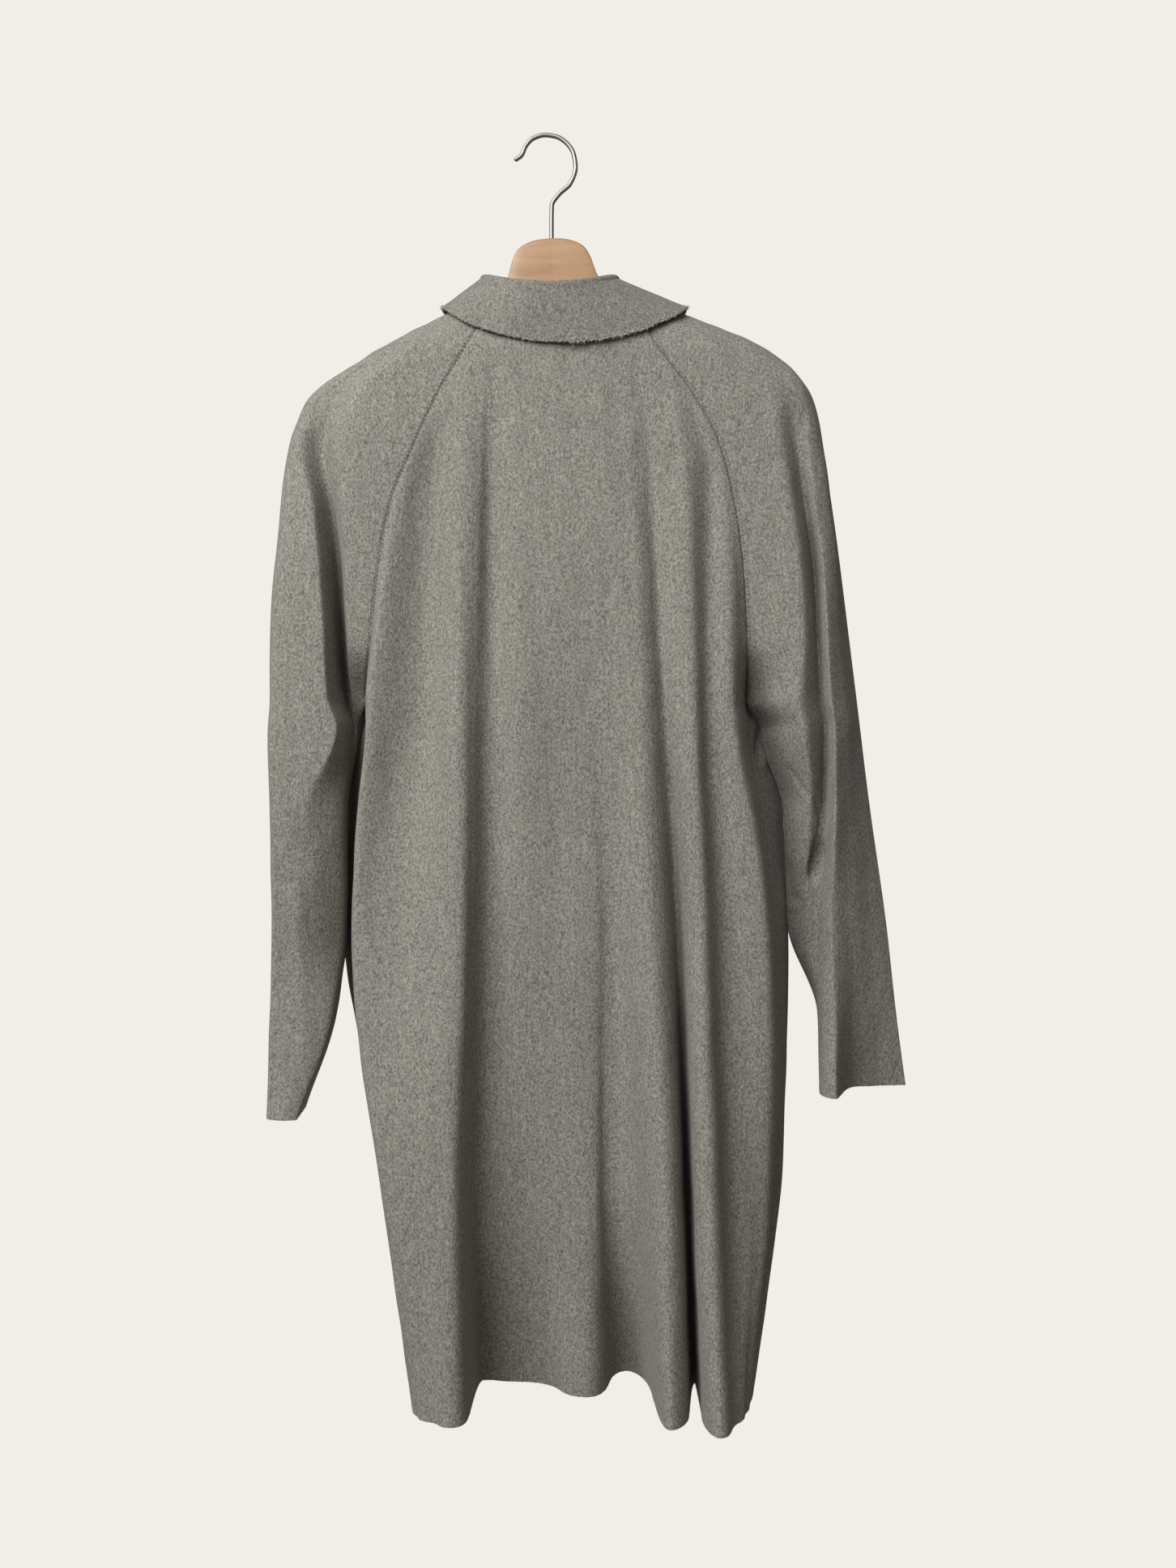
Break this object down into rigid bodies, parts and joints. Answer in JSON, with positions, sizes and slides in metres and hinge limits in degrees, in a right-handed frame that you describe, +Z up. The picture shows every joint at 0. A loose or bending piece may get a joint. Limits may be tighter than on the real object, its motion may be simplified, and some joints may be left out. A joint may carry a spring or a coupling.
{
  "type": "raglan cardigan coat on a wooden hanger",
  "caption": "Mid-length unlined wool coat with raglan sleeves, turn-down collar and raw-cut edges, hanging open and empty on a wooden hanger with a wire hook.",
  "frame": {"origin": "inside of the hook's crown, where it sits on a rail or pin", "axes": "+Z up, -Y out of the coat's back, +Y out of its front, +X to the right as seen from behind"},
  "size_m": [0.5668, 0.207, 1.0992],
  "materials": {
    "wool": "matte felted wool with light and dark flecks",
    "wood": "satin varnished pale wood",
    "steel": "polished"
  },
  "bodies": {
    "root": {"back": "wool", "front_left": "wool", "front_right": "wool", "sleeve_left_back": "wool", "sleeve_left_front": "wool", "sleeve_right_back": "wool", "sleeve_right_front": "wool", "collar": "wool", "hanger_arm_left": "wood", "hanger_arm_right": "wood", "hanger_hook": "steel"}
  },
  "joints": []
}
